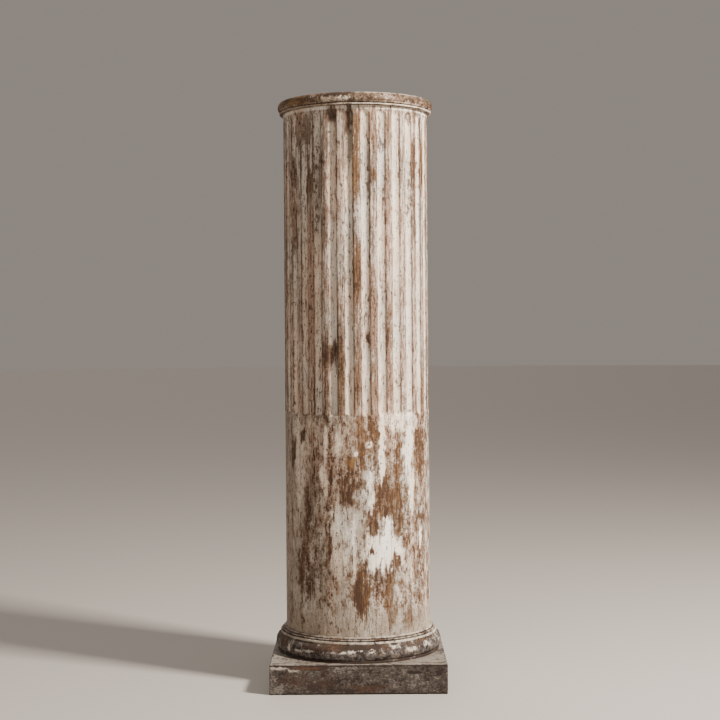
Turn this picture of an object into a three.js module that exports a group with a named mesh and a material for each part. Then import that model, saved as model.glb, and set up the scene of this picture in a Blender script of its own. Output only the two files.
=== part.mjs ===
// A fluted wooden column section: square plinth, turned base moulding, fluted shaft and turned cap.
// Millimetres, +Z up. The origin is the centre of the plinth's underside, and -Y is the front.
import * as THREE from 'three'

// Overall height, with the pieces' own heights. The shaft fills what they leave.
const overallHeight = 1219
const plinthHeight = 60
const baseHeight = 50
const capHeight = 26
const glueLine = 0.3

// Shaft and its flutes
const shaftRadius = 153
const fluteCount = 28
const fluteWidth = 19.5
const fluteDepth = 6
const plainFoot = 447
const plainNeck = 8
const frontFilletTurn = THREE.MathUtils.degToRad(1.0)

// Base moulding: a torus on a thin lip, then a fillet, a small bead in a groove and the top fillet
const torusReach = 22
const torusSection = 20
const torusHeight = 38
const lipHeight = 4
const lipSetback = 3.5
const lowerFilletReach = 12.5
const lowerFilletHeight = 3.4
const grooveReach = 5
const grooveBeadReach = 8.5
const grooveBeadHeight = 2
const grooveBeadRise = 2
const topFilletReach = 4
const topFilletHeight = 2

// Cap: a thin bead under a wide nosing
const nosingReach = 12
const nosingSection = 10
const capBeadHeight = 4
const capBeadReach = 8.5
const capQuirkReach = 5

// Plinth
const plinthMargin = 5
const plinthEdge = 1.5

// Facets
const turnedSides = 72
const fluteEndSteps = 3
const pointsAcrossFlute = 7

const barePaint = new THREE.MeshStandardMaterial({ color: 0xc9bba9, roughness: 0.85, metalness: 0 })
const agedWood = new THREE.MeshStandardMaterial({ color: 0x8a6a50, roughness: 0.8, metalness: 0 })
const dirtyWood = new THREE.MeshStandardMaterial({ color: 0x6a5a4e, roughness: 0.85, metalness: 0 })

/** Points of an elliptical arc in a profile. Zero degrees points out from the axis and 90 points up. */
function arc(centreRadius, centreHeight, reach, rise, fromDegrees, toDegrees, steps) {
  return Array.from({ length: steps + 1 }, (_, step) => {
    const angle = THREE.MathUtils.degToRad(THREE.MathUtils.lerp(fromDegrees, toDegrees, step / steps))
    return [centreRadius + reach * Math.cos(angle), centreHeight + rise * Math.sin(angle)]
  })
}

/** A solid of revolution about +Z from [radius, height] pairs that run from the foot to the head. */
function turned(profile, sides) {
  const geometry = new THREE.LatheGeometry(profile.map(([radius, height]) => new THREE.Vector2(radius, height)), sides)
  return geometry.rotateX(Math.PI / 2)
}

/** The square plinth block, with its edges eased all round. */
function plinth() {
  const side = 2 * (shaftRadius + torusReach + plinthMargin)
  const half = side / 2
  const outline = new THREE.Shape([
    new THREE.Vector2(-half, -half),
    new THREE.Vector2(half, -half),
    new THREE.Vector2(half, half),
    new THREE.Vector2(-half, half),
  ])
  const block = new THREE.ExtrudeGeometry(outline, {
    depth: plinthHeight - 2 * plinthEdge,
    bevelThickness: plinthEdge,
    bevelSize: plinthEdge,
    bevelOffset: -plinthEdge,
    bevelSegments: 2,
  })
  return block.translate(0, 0, plinthEdge)
}

/** The turned base moulding, from its lip on the plinth up to the fillet under the shaft. */
function baseMoulding() {
  const torusRadius = shaftRadius + torusReach
  const lipRadius = torusRadius - lipSetback
  const torusRise = torusHeight / 2
  const lowerFillet = shaftRadius + lowerFilletReach
  const lowerFilletTop = torusHeight + lowerFilletHeight
  const groove = shaftRadius + grooveReach
  const grooveBead = shaftRadius + grooveBeadReach
  const beadFoot = lowerFilletTop + grooveBeadRise
  const topFilletFoot = baseHeight - topFilletHeight
  return turned([
    [0, 0],
    [lipRadius, 0],
    [lipRadius, lipHeight],
    ...arc(torusRadius - torusSection, torusRise, torusSection, torusRise, -50, 55, 7),
    [lowerFillet, torusHeight],
    [lowerFillet, lowerFilletTop],
    [groove, lowerFilletTop],
    [grooveBead, beadFoot],
    [grooveBead, beadFoot + grooveBeadHeight],
    [groove, beadFoot + grooveBeadHeight],
    [groove, topFilletFoot],
    [shaftRadius + topFilletReach, topFilletFoot],
    [shaftRadius + topFilletReach, baseHeight],
    [0, baseHeight],
  ], turnedSides)
}

/** The turned cap disc: a bead, a quirk and a half-round nosing up to the flat top. */
function cap() {
  const beadRise = capBeadHeight / 2
  const nosingRise = (capHeight - capBeadHeight) / 2
  const nosingCentre = shaftRadius + nosingReach - nosingSection
  return turned([
    [0, 0],
    ...arc(shaftRadius + capBeadReach - beadRise, beadRise, beadRise, beadRise, -90, 90, 4),
    [shaftRadius + capQuirkReach, capBeadHeight],
    ...arc(nosingCentre, capBeadHeight + nosingRise, nosingSection, nosingRise, -75, 90, 8),
    [0, capHeight],
  ], turnedSides)
}

/** How deep a flute is cut at a distance from its centre line, or from the centre of its round end. */
function cutDepth(distance) {
  const halfWidth = fluteWidth / 2
  const sectionRadius = (halfWidth ** 2 + fluteDepth ** 2) / (2 * fluteDepth)
  return Math.sqrt(sectionRadius ** 2 - Math.min(distance, halfWidth) ** 2) - (sectionRadius - fluteDepth)
}

/** Rings up the shaft: each has a height, and in a flute its half width and its run past the end's centre. */
function shaftRings(shaftLength) {
  const halfWidth = fluteWidth / 2
  const plain = (height) => ({ height, fluted: false, halfWidth, past: halfWidth })
  const fluteFoot = plainFoot
  const fluteHead = shaftLength - plainNeck
  const endRings = Array.from({ length: fluteEndSteps }, (_, step) => {
    const angle = (Math.PI / 2) * ((step + 1) / fluteEndSteps)
    return { past: halfWidth * Math.cos(angle), halfWidth: halfWidth * Math.sin(angle), fluted: true }
  })
  const lower = endRings.map((ring) => ({ ...ring, height: fluteFoot + halfWidth - ring.past }))
  const upper = endRings.map((ring) => ({ ...ring, height: fluteHead - halfWidth + ring.past })).reverse()
  return [plain(0), plain(fluteFoot), ...lower, ...upper, plain(fluteHead), plain(shaftLength)]
}

/** The shaft: plain below, with round-ended flutes above, and flat ends. */
function shaft(shaftLength) {
  const rings = shaftRings(shaftLength)
  const pointsPerFlute = pointsAcrossFlute + 1
  const profile = [[0, 0], ...rings.map((ring) => [shaftRadius, ring.height]), [0, shaftLength]]
  const geometry = turned(profile, fluteCount * pointsPerFlute)
  const position = geometry.attributes.position
  const pitch = (2 * Math.PI) / fluteCount
  const front = -Math.PI / 2 + frontFilletTurn
  for (let index = 0; index < position.count; index += 1) {
    const column = Math.floor(index / profile.length) % (fluteCount * pointsPerFlute)
    const ring = rings[(index % profile.length) - 1]
    if (ring) {
      const flute = Math.floor(column / pointsPerFlute)
      const step = column % pointsPerFlute
      const onFillet = step === pointsAcrossFlute
      const offset = onFillet ? 0 : ring.halfWidth * (2 * step / (pointsAcrossFlute - 1) - 1)
      const centre = front + pitch * (flute + (onFillet ? 1 : 0.5))
      const angle = centre + offset / shaftRadius
      const depth = ring.fluted && !onFillet ? cutDepth(Math.hypot(offset, ring.past)) : 0
      position.setXY(index, (shaftRadius - depth) * Math.cos(angle), (shaftRadius - depth) * Math.sin(angle))
    }
  }
  geometry.computeVertexNormals()
  return geometry
}

/** A named piece standing at its height on the column's axis. */
function piece(name, geometry, material, foot) {
  const mesh = new THREE.Mesh(geometry, material)
  mesh.name = name
  mesh.position.z = foot
  return mesh
}

const baseFoot = plinthHeight + glueLine
const shaftFoot = baseFoot + baseHeight + glueLine
const capFoot = overallHeight - capHeight
const shaftLength = capFoot - glueLine - shaftFoot

const column = new THREE.Group()
column.name = 'carved_column'
column.add(
  piece('plinth', plinth(), dirtyWood, 0),
  piece('base_moulding', baseMoulding(), dirtyWood, baseFoot),
  piece('shaft', shaft(shaftLength), barePaint, shaftFoot),
  piece('cap', cap(), agedWood, capFoot),
)

export default column
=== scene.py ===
"""Dresses a worn, fluted wooden column on a square plinth, in peeling cream paint over brown wood."""

import logging
import math
from dataclasses import dataclass, field
from enum import Enum
from typing import Union

import bmesh
import bpy
import numpy as np
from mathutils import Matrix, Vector, noise


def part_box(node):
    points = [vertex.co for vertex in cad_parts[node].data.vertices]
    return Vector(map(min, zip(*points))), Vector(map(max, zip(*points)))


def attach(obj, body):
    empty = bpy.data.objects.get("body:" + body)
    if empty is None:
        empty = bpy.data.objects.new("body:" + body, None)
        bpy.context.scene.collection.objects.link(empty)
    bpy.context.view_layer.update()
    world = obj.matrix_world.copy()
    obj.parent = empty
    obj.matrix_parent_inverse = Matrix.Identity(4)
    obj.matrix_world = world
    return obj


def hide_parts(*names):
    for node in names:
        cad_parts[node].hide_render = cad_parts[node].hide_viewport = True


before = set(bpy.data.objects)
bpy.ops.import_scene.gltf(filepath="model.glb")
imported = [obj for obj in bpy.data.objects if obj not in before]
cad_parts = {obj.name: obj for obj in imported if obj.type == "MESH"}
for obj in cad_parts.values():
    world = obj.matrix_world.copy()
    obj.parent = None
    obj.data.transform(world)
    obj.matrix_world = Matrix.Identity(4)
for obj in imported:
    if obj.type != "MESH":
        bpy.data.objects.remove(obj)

log = logging.getLogger("column")

MM = 0.001
BAKE_MAP = "OFBake"

Colour = tuple[float, float, float, float]
Profile = list[tuple[float, float]]


def swatch(red: int, green: int, blue: int) -> Colour:
    """A colour as a decorator's chart gives it, 0 to 255, turned into linear light.

    Args:
        red: The red part.
        green: The green part.
        blue: The blue part.

    Returns:
        Linear red, green and blue, and a full alpha.
    """
    parts = (part / 255 for part in (red, green, blue))
    linear = (part / 12.92 if part <= 0.04045 else ((part + 0.055) / 1.055) ** 2.4 for part in parts)
    return (*linear, 1.0)


def eased(value: np.ndarray, low: float, high: float) -> np.ndarray:
    """A smooth rise from 0 at low to 1 at high, or a fall where high is the lesser.

    Args:
        value: The amounts to judge.
        low: The amount where the rise starts.
        high: The amount where it ends.

    Returns:
        The rise at each amount, from 0 to 1.
    """
    share = np.clip((value - low) / (high - low), 0.0, 1.0)
    return share * share * (3 - 2 * share)


def ripple(first: np.ndarray, second: np.ndarray) -> np.ndarray:
    """An uneven wave over two coordinates, from about -1 to 1, that doesn't repeat nearby.

    Args:
        first: One coordinate, in wave lengths.
        second: The other.

    Returns:
        The height of the wave at each point.
    """
    waves = ((1.0, 0.31, 0.4), (1.93, -0.87, 2.1), (2.71, 1.63, 4.0), (0.57, -1.21, 1.3), (4.31, 0.73, 5.2))
    total = sum(np.sin(2 * math.pi * (along * first + over * second) + start) for along, over, start in waves)
    usual_peak = 2.6
    return total / usual_peak


def arc(
    centre: tuple[float, float], reach: float, rise: float, start: float, end: float, steps: int
) -> Profile:
    """Points along an elliptical arc of a turned profile.

    Args:
        centre: Radius and height of the arc's centre.
        reach: Half width, away from the column's axis.
        rise: Half height.
        start: First angle in degrees, where 0 points outwards and 90 up.
        end: Last angle in degrees.
        steps: How many pieces the arc has.

    Returns:
        Radius and height of each point.
    """
    angles = (math.radians(start + (end - start) * step / steps) for step in range(steps + 1))
    return [(centre[0] + reach * math.cos(angle), centre[1] + rise * math.sin(angle)) for angle in angles]


def resampled(profile: Profile, spacing: float) -> Profile:
    """Splits each stretch of a profile into even steps and takes the sharpness off its corners.

    Args:
        profile: Corner points of the profile.
        spacing: The longest step.

    Returns:
        The finer profile, with its first and last points kept.
    """
    points = [profile[0]]
    for (radius, height), (next_radius, next_height) in zip(profile, profile[1:]):
        length = math.hypot(next_radius - radius, next_height - height)
        count = max(1, math.ceil(length / spacing))
        for step in range(1, count + 1):
            share = step / count
            points.append((radius + (next_radius - radius) * share, height + (next_height - height) * share))
    middle = [
        tuple((before + 2 * here + after) / 4 for before, here, after in zip(*trio))
        for trio in zip(points, points[1:], points[2:])
    ]
    return [points[0], *middle, points[-1]]


class Layer(Enum):
    """What a piece's surface carries from place to place, kept as a number on each point."""

    PAINT = "paint"
    FILM = "film"
    TONE = "tone"
    # Grime, and painted shade laid in with it in the flute corners and on the side away from the key light.
    GRIME_AND_SHADE = "grime"
    FLAKING = "flaking"
    PITS = "pits"


class Ground(Enum):
    """The part of the surface that a patch keeps to."""

    ALL = "all"
    FILLET = "fillet"
    FLUTE = "flute"


@dataclass(frozen=True)
class Patch:
    """A place on the column where the finish is unlike what is around it.

    Angles are in degrees round the axis from the front, positive to the right, and heights in
    millimetres above the floor. Each layer that is given is the patch's own value of it.
    """

    angle: float
    height: float
    half_width: float
    half_height: float
    paint: float | None = None
    film: float | None = None
    tone: float | None = None
    grime: float | None = None
    flaking: float | None = None
    pits: float | None = None
    ground: Ground = Ground.ALL

    def values(self) -> dict[Layer, float]:
        """The layers that this patch sets, with its values."""
        given = {layer: getattr(self, layer.value) for layer in Layer}
        return {layer: value for layer, value in given.items() if value is not None}


@dataclass
class WearMap:
    """The layers of wear, and of the painted shade and highlights laid with them, over the points of one
    mesh.

    Attributes:
        across: Arc length round the axis from the front, in metres.
        height: Height above the floor, in metres.
        girth: The whole way round, in metres.
        most_sway: How far a patch's edge may wander sideways, in metres.
        most_finger: How far it may reach up or down in fingers, in metres.
        sway_share: The most that it may wander, as a share of the patch's half width.
        finger_share: The most that it may reach, as a share of the patch's half height.
        squareness: How square a patch is, where 2 is an oval.
        outer: Where a patch starts, as a share of its half size.
        inner: Where it is whole.
        layers: One array of values for each layer.
        grounds: Where each ground is, as 1 on it and 0 off it. One that isn't there reaches everywhere.
    """

    across: np.ndarray
    height: np.ndarray
    girth: float
    most_sway: float = 5 * MM
    most_finger: float = 18 * MM
    sway_share: float = 0.35
    finger_share: float = 0.40
    squareness: float = 2.6
    outer: float = 1.40
    inner: float = 0.55
    layers: dict[Layer, np.ndarray] = field(default_factory=dict)
    grounds: dict[Ground, np.ndarray] = field(default_factory=dict)

    def __post_init__(self) -> None:
        """Starts every layer at nothing, and draws the waves that make a patch's edge uneven."""
        self.layers = {layer: np.zeros_like(self.height, dtype=float) for layer in Layer}
        self.sway = ripple(self.height / (60 * MM), self.across / (110 * MM))
        self.fingers = ripple(self.across / (19 * MM), self.height / (160 * MM))

    def lay(self, layer: Layer, value: Union[float, np.ndarray], where: np.ndarray | None = None) -> None:
        """Sets a layer, everywhere or as far as a mask says.

        Args:
            layer: The layer to change.
            value: The value or values to bring in.
            where: How much of the new value each point takes, from 0 to 1.
        """
        new = np.broadcast_to(np.asarray(value, dtype=float), self.height.shape)
        if where is None:
            self.layers[layer] = new.copy()
            return
        self.layers[layer] = self.layers[layer] * (1 - where) + new * where

    def dress(self, where: np.ndarray | None = None, **levels: Union[float, np.ndarray]) -> None:
        """Sets several layers at once.

        Args:
            where: How much of the new values each point takes, from 0 to 1, or everything everywhere.
            levels: The value or values for each layer, by the layer's name.
        """
        for name, value in levels.items():
            self.lay(Layer(name), value, where)

    def spread(self, patch: Patch) -> None:
        """Lays one patch over what is there, with a soft edge that the finish later makes ragged.

        Args:
            patch: The patch to lay.
        """
        wide = patch.half_width * MM
        tall = patch.half_height * MM
        step = self.across - math.radians(patch.angle) * self.girth / (2 * math.pi)
        step -= self.girth * np.round(step / self.girth)
        step = step + self.sway * min(self.most_sway, wide * self.sway_share)
        rise = self.height - patch.height * MM
        rise = rise + self.fingers * min(self.most_finger, tall * self.finger_share)
        reach = np.abs(step / wide) ** self.squareness + np.abs(rise / tall) ** self.squareness
        weight = eased(reach ** (1 / self.squareness), self.outer, self.inner)
        weight = weight * self.grounds.get(patch.ground, 1.0)
        for layer, value in patch.values().items():
            self.lay(layer, value, weight)

    def store(self, mesh: bpy.types.Mesh) -> None:
        """Writes every layer to a mesh, for the finish to read.

        Args:
            mesh: The mesh whose points the layers were made for.
        """
        for layer, values in self.layers.items():
            attribute = mesh.attributes.new(layer.value, "FLOAT", "POINT")
            attribute.data.foreach_set("value", values.astype(np.float32))


class Number:
    """A number that changes over a surface. Sums written with it become the finish's Math nodes."""

    def __init__(self, bench: "Bench", socket: bpy.types.NodeSocket) -> None:
        """Keeps the socket and the bench that it belongs to."""
        self.bench = bench
        self.socket = socket

    def _sum(self, operation: str, first: "Amount", second: "Amount") -> "Number":
        """One Math node over two amounts."""
        return self.bench.node("ShaderNodeMath", {"operation": operation}, {0: first, 1: second})

    def __add__(self, other: "Amount") -> "Number":
        """This number plus another."""
        return self._sum("ADD", self, other)

    def __sub__(self, other: "Amount") -> "Number":
        """This number less another."""
        return self._sum("SUBTRACT", self, other)

    def __rsub__(self, other: "Amount") -> "Number":
        """Another number less this one."""
        return self._sum("SUBTRACT", other, self)

    def __mul__(self, other: "Amount") -> "Number":
        """This number times another."""
        return self._sum("MULTIPLY", self, other)

    __radd__ = __add__


Amount = Union[Number, float]


class Bench:
    """Mixes one finish: a material with the nodes that are added to it here."""

    def __init__(self, name: str) -> None:
        """Starts a material of that name."""
        self.material = bpy.data.materials.new(name)
        self.material.use_nodes = True
        self.tree = self.material.node_tree
        self.shader = self.tree.nodes["Principled BSDF"]

    def node(self, kind: str, settings: dict, inputs: dict, output: int | str = 0) -> Number:
        """Adds any node.

        Args:
            kind: The node's type.
            settings: Its properties, set before its sockets.
            inputs: A value or a link for each socket, by name or place.
            output: Which of its outputs is wanted.

        Returns:
            The output, as a number to reckon with.
        """
        made = self.tree.nodes.new(kind)
        for name, value in settings.items():
            setattr(made, name, value)
        for key, value in inputs.items():
            self.join(value, made.inputs[key])
        return Number(self, made.outputs[output])

    def join(self, value: Union[Amount, Colour, Vector], socket: bpy.types.NodeSocket) -> None:
        """Links a number to a socket, or sets a plain value on it.

        Args:
            value: The number, or a plain value that is the same everywhere.
            socket: The socket that takes it.
        """
        if isinstance(value, Number):
            self.tree.links.new(value.socket, socket)
        else:
            socket.default_value = value

    def place(self, stretch: tuple[float, float, float] = (1.0, 1.0, 1.0), shift: float = 0.0) -> Number:
        """The point on the object, scaled so that a pattern on it is drawn out or pressed together.

        Args:
            stretch: The scale along X, Y and Z, where a small one draws the pattern out.
            shift: How far the pattern is moved, so that two patterns don't coincide.

        Returns:
            The place to read a pattern at.
        """
        point = self.node("ShaderNodeTexCoord", {}, {}, "Object")
        moved = (shift, shift * 1.7, shift * 0.6)
        return self.node("ShaderNodeMapping", {}, {"Vector": point, "Scale": stretch, "Location": moved})

    def noise(self, place: Number, grain: float, detail: float = 3.0, rough: float = 0.55) -> Number:
        """Cloudy noise about zero, roughly from -1 to 1.

        Args:
            place: Where it is read.
            grain: The size of its largest lumps, in metres.
            detail: How many finer layers it has.
            rough: How strong the finer layers are.

        Returns:
            The noise.
        """
        settings = {"noise_dimensions": "3D"}
        inputs = {"Vector": place, "Scale": 1.0 / grain, "Detail": detail, "Roughness": rough}
        return (self.node("ShaderNodeTexNoise", settings, inputs) - 0.5) * 4.0

    def layer(self, layer: Layer) -> Number:
        """One layer of the piece's own wear."""
        return self.node("ShaderNodeAttribute", {"attribute_name": layer.value}, {}, "Fac")

    def step(self, value: Amount, low: float, high: float) -> Number:
        """A smooth step from 0 at low to 1 at high."""
        settings = {"interpolation_type": "SMOOTHSTEP"}
        return self.node("ShaderNodeMapRange", settings, {"Value": value, "From Min": low, "From Max": high})

    def mix(self, share: Amount, below: Union[Number, Colour], above: Union[Number, Colour]) -> Number:
        """One colour laid over another."""
        return self.node("ShaderNodeMix", {"data_type": "RGBA"}, {0: share, 6: below, 7: above}, 2)


@dataclass
class Marks:
    """The patterns that break up one finish, each from about -1 to 1.

    Attributes:
        grain: The finest streaks along the wood.
        band: Wider streaks.
        flakes: The raggedness of the flakes.
        dapple: Small blots, a little drawn out.
        blotch: Broad blots.
        crumbs: Small lumps that aren't drawn out.
        specks: Pits and pinholes.
        warmth: Very broad changes of colour.
    """

    grain: Number
    band: Number
    flakes: Number
    dapple: Number
    blotch: Number
    crumbs: Number
    specks: Number
    warmth: Number


@dataclass(frozen=True)
class WornPaint:
    """Old paint that has come away from wood in flakes, over a thin film of what lay under it.

    Attributes:
        name: The finish's name.
        paint: Colour of the sound paint.
        warm_paint: Its colour where it has yellowed.
        soiled_and_shaded: Colour of the paint where grime has settled, and where painted shade is laid.
        film: Colour of the film under the paint.
        grey_film: Its colour where it has greyed.
        dark_wood: Colour of the darkest bare wood.
        pale_wood: Colour of the palest bare wood.
        stretch: How a pattern is scaled along X, Y and Z, small along the grain.
        flake: Size of the flakes, in metres.
        mottle: How strong the small speckle is.
        clouds: How strong the broad changes of shade are.
        staves: How many staves stand side by side, or none.
        turn: Angle of one joint between staves from the front, in radians.
        radius: The staves' outer radius, in metres.
    """

    name: str
    paint: Colour
    warm_paint: Colour
    soiled_and_shaded: Colour
    film: Colour
    grey_film: Colour
    dark_wood: Colour
    pale_wood: Colour
    stretch: tuple[float, float, float]
    flake: float
    mottle: float = 1.0
    clouds: float = 0.0
    staves: int = 0
    turn: float = 0.0
    radius: float = 0.0

    def joint(self, bench: Bench) -> tuple[Number, Number]:
        """The staves' own shade and the hairline joint between them.

        Args:
            bench: Where the finish is mixed.

        Returns:
            A random shade from -1 to 1 for each stave, and 1 on the hairline and 0 off it.
        """
        point = bench.place()
        side = bench.node("ShaderNodeSeparateXYZ", {}, {"Vector": point}, "X")
        depth = bench.node("ShaderNodeSeparateXYZ", {}, {"Vector": point}, "Y")
        around = bench.node("ShaderNodeMath", {"operation": "ARCTAN2"}, {0: side, 1: 0.0 - depth})
        turns = (around - self.turn) * (self.staves / (2 * math.pi))
        number = bench.node("ShaderNodeMath", {"operation": "FLOOR"}, {0: turns})
        shade = bench.node("ShaderNodeTexWhiteNoise", {"noise_dimensions": "1D"}, {"W": number}) * 2.0 - 1.0
        off = bench.node("ShaderNodeMath", {"operation": "PINGPONG"}, {0: turns, 1: 0.5})
        gap = off * (2 * math.pi * self.radius / self.staves)
        return shade, 1.0 - bench.step(gap, 0.15 * MM, 0.7 * MM)

    def drawn(self, share: float) -> tuple[float, ...]:
        """The stretch taken only in part, from none of it at 0 to all of it at 1."""
        return tuple(part**share for part in self.stretch)

    def marks(self, bench: Bench) -> Marks:
        """The patterns of this finish, the finer ones drawn out along its grain.

        Args:
            bench: Where the finish is mixed.

        Returns:
            The patterns.
        """
        streak = bench.place(self.stretch)
        loose = bench.place(self.drawn(0.5), 3.0)
        ragged = bench.place(self.drawn(0.3), 5.0)
        even = bench.place(shift=7.0)
        return Marks(
            grain=bench.noise(streak, 3.0 * MM, detail=5.0, rough=0.65),
            band=bench.noise(streak, 12 * MM, detail=4.0, rough=0.6),
            flakes=bench.noise(ragged, self.flake, detail=5.0, rough=0.62),
            dapple=bench.noise(loose, 7.5 * MM, detail=4.0, rough=0.7),
            blotch=bench.noise(loose, 45 * MM),
            crumbs=bench.noise(even, 4.8 * MM, detail=3.0, rough=0.7),
            specks=bench.noise(loose, 4.2 * MM, detail=2.0),
            warmth=bench.noise(loose, 75 * MM, detail=2.0),
        )

    def cover(self, bench: Bench, marks: Marks, shade: Amount) -> Number:
        """How much paint is left, with its edge at about zero.

        Args:
            bench: Where the finish is mixed.
            marks: Its patterns.
            shade: The shade of each stave, from -1 to 1.

        Returns:
            The amount of paint.
        """
        flaking = bench.layer(Layer.FLAKING)
        speckle = marks.dapple * (0.17 * self.mottle) + marks.crumbs * (0.19 * self.mottle)
        cover = bench.layer(Layer.PAINT) + marks.band * (0.24 - flaking * 0.12)
        cover = cover + marks.blotch * (0.16 * self.clouds)
        cover = cover + marks.grain * (0.16 - flaking * 0.06) + speckle * (0.55 + flaking * 0.45)
        cover = cover + marks.flakes * (0.08 + flaking * 0.20) + shade * 0.04 - 0.47
        return cover * (1.0 + flaking * 0.6)

    def wood(self, bench: Bench, marks: Marks, shade: Amount) -> Number:
        """The colour of the bare wood.

        Args:
            bench: Where the finish is mixed.
            marks: Its patterns.
            shade: The shade of each stave, from -1 to 1.

        Returns:
            The colour.
        """
        tone = bench.layer(Layer.TONE) + marks.grain * 0.22 + marks.band * 0.22
        tone = tone + marks.dapple * 0.26 + marks.crumbs * 0.16
        tone = tone + shade * 0.06 - marks.warmth * (0.30 * self.clouds)
        return bench.mix(bench.step(tone, 0.0, 1.25), self.dark_wood, self.pale_wood)

    def mixed(self) -> bpy.types.Material:
        """Mixes the finish, from the wood outwards.

        Returns:
            The finish as a material.
        """
        bench = Bench(self.name)
        marks = self.marks(bench)
        shade, seam = self.joint(bench) if self.staves else (0.0, 0.0)
        grime = bench.layer(Layer.GRIME_AND_SHADE)
        cover = self.cover(bench, marks, shade)
        paint = bench.step(cover, -0.08, 0.10)
        thick = bench.step(cover, 0.06, 0.46)

        # The film greys with warmth, blots and grime, and also under the painted shade laid in the grime
        # layer.
        tint = bench.step(marks.warmth * 0.8 + marks.blotch * 0.3 + grime * 1.2, -0.2, 1.1)
        film_colour = bench.mix(tint, self.film, self.grey_film)
        edge = bench.step(cover + marks.grain * 0.08 + marks.crumbs * 0.05, -0.36, -0.05)
        film = bench.layer(Layer.FILM) + marks.blotch * (0.30 * self.clouds)
        film = edge * bench.step(film, -0.1, 1.1)
        under = bench.mix(film, self.wood(bench, marks, shade), film_colour)
        rim = bench.step(cover, -0.15, -0.08) * (1.0 - paint)
        under = bench.mix(rim * 0.50, under, self.dark_wood)

        # The coat darkens towards its soiled colour with grime, and with the painted shade laid in the same
        # layer.
        soil_and_shade = grime + marks.band * 0.24 + marks.grain * 0.08 + marks.blotch * 0.16 + marks.dapple * 0.20
        soil_and_shade = soil_and_shade + marks.crumbs * (0.24 * self.mottle)
        soil_and_shade = bench.step(soil_and_shade - thick * 0.08, 0.05, 0.95)
        yellowed = bench.step(marks.warmth + marks.blotch * 0.3, -0.5, 0.6)
        coat = bench.mix(yellowed, self.warm_paint, self.paint)
        coat = bench.mix((1.0 - thick) * 0.55, coat, film_colour)
        coat = bench.mix(soil_and_shade, coat, self.soiled_and_shaded)
        colour = bench.mix(paint, under, coat)

        pits = marks.specks + marks.crumbs * 0.35 + bench.layer(Layer.PITS) * 0.65
        pits = bench.step(pits, 0.66, 0.90) * 0.8
        colour = bench.mix(pits, colour, self.dark_wood)
        colour = bench.mix(seam * 0.55, colour, self.dark_wood)

        rough = 0.80 - paint * 0.14 + marks.grain * 0.05
        lift = paint * (0.40 * MM) + thick * (0.20 * MM) + marks.grain * (0.20 * MM)
        lift = lift + marks.dapple * (0.12 * MM) + marks.crumbs * (0.08 * MM)
        lift = lift - pits * (0.5 * MM) - seam * (0.5 * MM)
        relief = bench.node("ShaderNodeBump", {}, {"Strength": 1.0, "Distance": 1.0, "Height": lift})
        bench.join(colour, bench.shader.inputs["Base Color"])
        bench.join(rough, bench.shader.inputs["Roughness"])
        bench.join(relief, bench.shader.inputs["Normal"])
        bench.shader.inputs["Specular IOR Level"].default_value = 0.3
        return bench.material


def placed(name: str, data: bpy.types.ID) -> bpy.types.Object:
    """Adds an object to the scene.

    Args:
        name: The object's name.
        data: The mesh, light or camera that it shows.

    Returns:
        The object.
    """
    made = bpy.data.objects.new(name, data)
    bpy.context.scene.collection.objects.link(made)
    return made


@dataclass
class Piece:
    """One solid piece of the column, made as a fine mesh in the place of its frame node.

    Attributes:
        node: The frame's node that the piece stands for.
        name: The piece's own name.
        patches: Places where its finish differs.
    """

    node: str
    name: str
    patches: list[Patch] = field(default_factory=list)

    foot: float = field(init=False)
    head: float = field(init=False)
    reach: float = field(init=False)

    def __post_init__(self) -> None:
        """Reads where the node's box has its underside, its top and its side, once."""
        lowest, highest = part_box(self.node)
        self.foot = lowest.z
        self.head = highest.z
        self.reach = highest.x

    def form(self) -> bmesh.types.BMesh:
        """The shaped mesh. Each kind of piece makes its own."""
        raise NotImplementedError

    def wear(self, worn: WearMap, points: np.ndarray) -> None:
        """Lays the piece's general wear, with any painted shade and highlights, before its patches.

        Args:
            worn: The layers to lay it on.
            points: Where each point is, as rows of X, Y and Z.
        """
        raise NotImplementedError

    def finish(self) -> WornPaint:
        """The piece's finish."""
        raise NotImplementedError

    def build(self) -> None:
        """Makes, dresses and places the piece, which rides on the column's one body."""
        shaped = self.form()
        mesh = bpy.data.meshes.new(self.name)
        shaped.to_mesh(mesh)
        shaped.free()
        made = placed(self.name, mesh)
        points = np.empty(len(mesh.vertices) * 3, dtype=np.float32)
        mesh.vertices.foreach_get("co", points)
        points = points.reshape(-1, 3)
        across = np.arctan2(points[:, 0], -points[:, 1]) * self.reach
        worn = WearMap(across, points[:, 2], 2 * math.pi * self.reach)
        self.wear(worn, points)
        for patch in self.patches:
            worn.spread(patch)
        worn.store(mesh)
        mesh.materials.append(self.finish().mixed())
        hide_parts(self.node)
        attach(made, "root")
        log.info("%s: %d faces", self.name, len(mesh.polygons))


def spun(profile: Profile, steps: int) -> bmesh.types.BMesh:
    """Turns a profile round the column's axis into a closed solid.

    Args:
        profile: Radius and height of each point, from the axis at the foot to the axis at the head.
        steps: How many sides it has.

    Returns:
        The turned mesh, with its faces outwards and smooth shading where it is rounded.
    """
    mesh = bmesh.new()
    line = [mesh.verts.new((radius, 0.0, height)) for radius, height in profile]
    edges = [mesh.edges.new(pair) for pair in zip(line, line[1:])]
    upright = dict(cent=(0, 0, 0), axis=(0, 0, 1), angle=2 * math.pi)
    bmesh.ops.spin(mesh, geom=line + edges, steps=steps, use_merge=True, **upright)
    bmesh.ops.remove_doubles(mesh, verts=mesh.verts, dist=1e-7)
    bmesh.ops.recalc_face_normals(mesh, faces=mesh.faces)
    return mesh


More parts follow.
